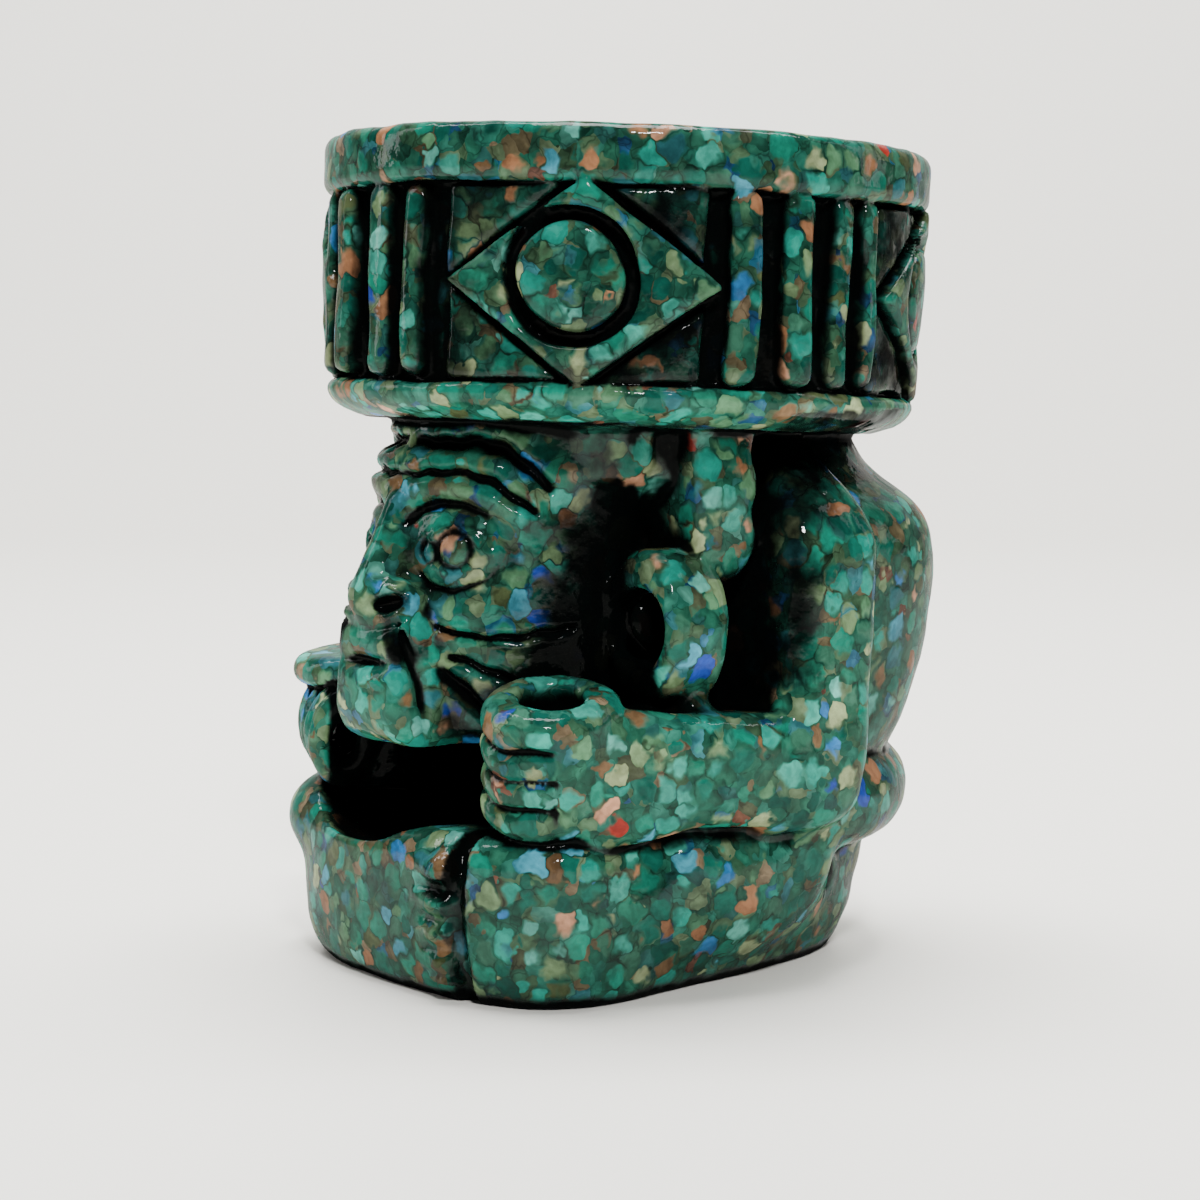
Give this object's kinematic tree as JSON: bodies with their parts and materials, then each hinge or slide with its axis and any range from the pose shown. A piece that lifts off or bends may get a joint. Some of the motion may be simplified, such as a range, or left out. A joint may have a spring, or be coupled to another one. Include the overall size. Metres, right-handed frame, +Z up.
{
  "type": "seated fire god figure with a brazier on its head",
  "caption": "Small seated old man figure, cast in one piece from coloured stone chips and resin, that carries a round open brazier on his head",
  "frame": {"origin": "on the surface that the figure stands on, under the axis of the brazier", "axes": "+Z up, -Y is the way that the face looks, +X is the figure's left"},
  "size_m": [0.0624, 0.0652, 0.0847],
  "materials": {
    "stone_chips_in_resin": "crushed green, blue and tan stone chips in clear resin, black wash in the recesses, gloss lacquer"
  },
  "bodies": {
    "root": {"fire_god_figure": "stone_chips_in_resin"}
  },
  "joints": []
}
